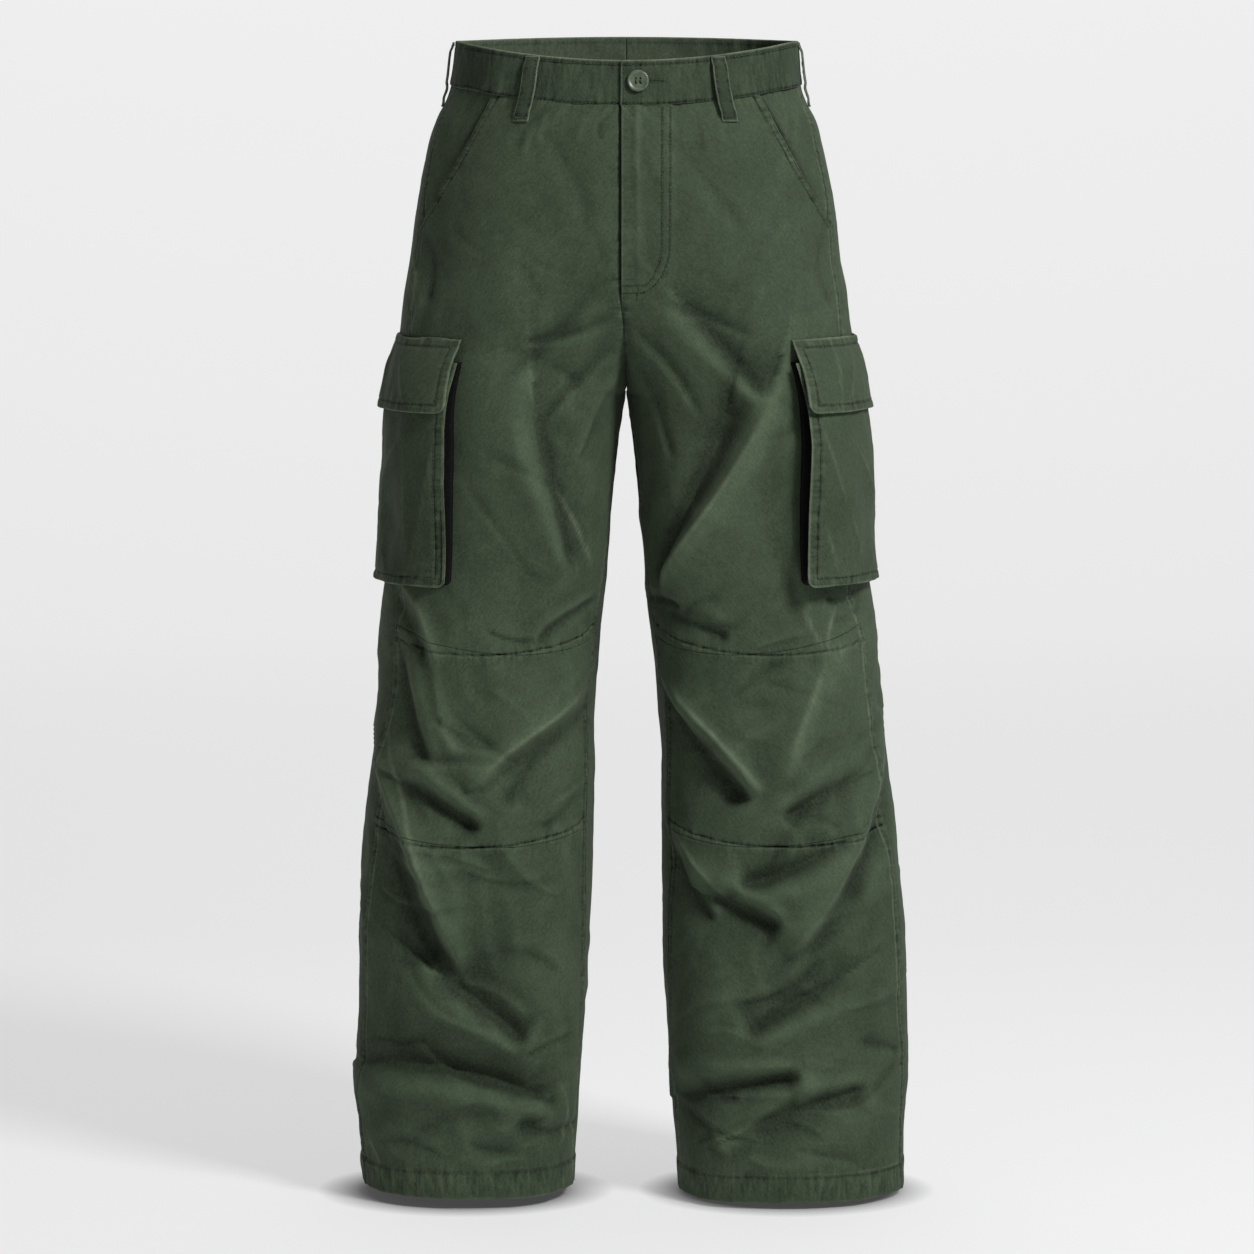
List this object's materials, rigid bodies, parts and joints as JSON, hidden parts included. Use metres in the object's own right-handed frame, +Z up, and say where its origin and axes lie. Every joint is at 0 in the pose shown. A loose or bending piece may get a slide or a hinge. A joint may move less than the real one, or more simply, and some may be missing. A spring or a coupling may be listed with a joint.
{
  "type": "cargo trousers",
  "caption": "Wide-legged cotton cargo trousers, hollow as worn, with open waist and hems, belt loops, slanted hip pockets and flapped bellows pockets on the thighs.",
  "frame": {"origin": "centre of the waist opening, level with the top edge of the waistband at the hips", "axes": "+Z up along the wearer, -Y the wearer's front, +X the wearer's left"},
  "size_m": [0.5033, 0.2802, 1.037],
  "materials": {
    "cloth": "matt cotton twill",
    "button": "satin"
  },
  "bodies": {
    "root": {"front_upper_left": "cloth", "front_knee_left": "cloth", "front_lower_left": "cloth", "back_left": "cloth", "hip_facing_left": "cloth", "cargo_bellows_left": "cloth", "cargo_face_left": "cloth", "cargo_flap_left": "cloth", "waistband_left": "cloth", "belt_loop_front_left": "cloth", "belt_loop_side_left": "cloth", "front_upper_right": "cloth", "front_knee_right": "cloth", "front_lower_right": "cloth", "back_right": "cloth", "hip_facing_right": "cloth", "cargo_bellows_right": "cloth", "cargo_face_right": "cloth", "cargo_flap_right": "cloth", "waistband_right": "cloth", "belt_loop_front_right": "cloth", "belt_loop_side_right": "cloth", "fly": "cloth", "belt_loop_back": "cloth", "button": "button"}
  },
  "joints": []
}
